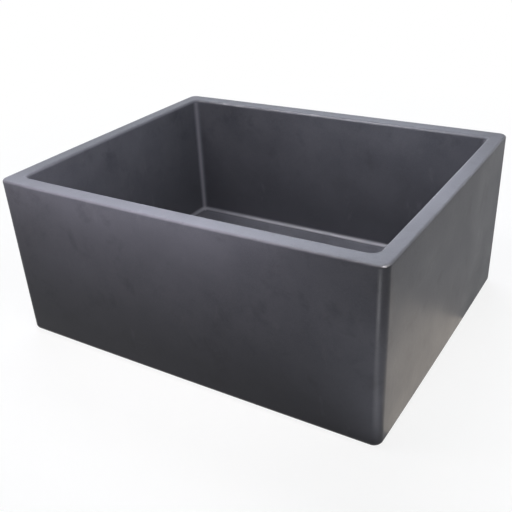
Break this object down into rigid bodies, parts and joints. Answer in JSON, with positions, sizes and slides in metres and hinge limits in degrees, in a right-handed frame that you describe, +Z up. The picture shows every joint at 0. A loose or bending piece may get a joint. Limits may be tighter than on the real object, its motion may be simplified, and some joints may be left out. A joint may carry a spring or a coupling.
{
  "type": "farmhouse kitchen sink",
  "caption": "Farmhouse kitchen sink: deep rectangular fireclay bowl with an apron front and matt graphite glaze, a basket strainer waste, a lift-out basket and a push-down stopper.",
  "frame": {"origin": "on the plane the bowl rests on, below the centre of the drain and of the bowl", "axes": "+Z up, apron front towards -Y, +X to the right as seen from the front"},
  "size_m": [0.605, 0.488, 0.429],
  "materials": {
    "graphite_glaze": "satin",
    "strainer_steel": "satin",
    "chrome_plate": "polished",
    "cast_brass": "matte",
    "turned_brass": "satin",
    "black_rubber": "matte",
    "grey_sealant": "matte",
    "brown_fibre": "matte"
  },
  "bodies": {
    "sink": {"sink_bowl": "graphite_glaze", "strainer_body": "strainer_steel", "flange_seal": "grey_sealant", "drain_gasket": "black_rubber", "friction_ring": "brown_fibre", "drain_locknut": "cast_brass", "tailpiece_washer": "black_rubber", "tailpiece": "chrome_plate", "coupling_nut": "chrome_plate"},
    "basket": {"basket_cup": "strainer_steel", "stem_guide": "turned_brass", "guide_washer": "strainer_steel", "guide_nut": "turned_brass", "stem_o_ring": "black_rubber"},
    "stopper": {"stopper_stem": "strainer_steel", "stopper_knob": "chrome_plate", "stopper_cap": "strainer_steel", "stopper_seal": "black_rubber", "stopper_plate": "strainer_steel", "stem_nut": "turned_brass"}
  },
  "joints": [
    {"name": "basket_lift", "type": "slide", "parent": "sink", "child": "basket", "axis": [0, 0, 1], "range_m": [0, 0.33]},
    {"name": "stopper_travel", "type": "slide", "parent": "basket", "child": "stopper", "axis": [0, 0, 1], "range_m": [0, 0.01]}
  ]
}
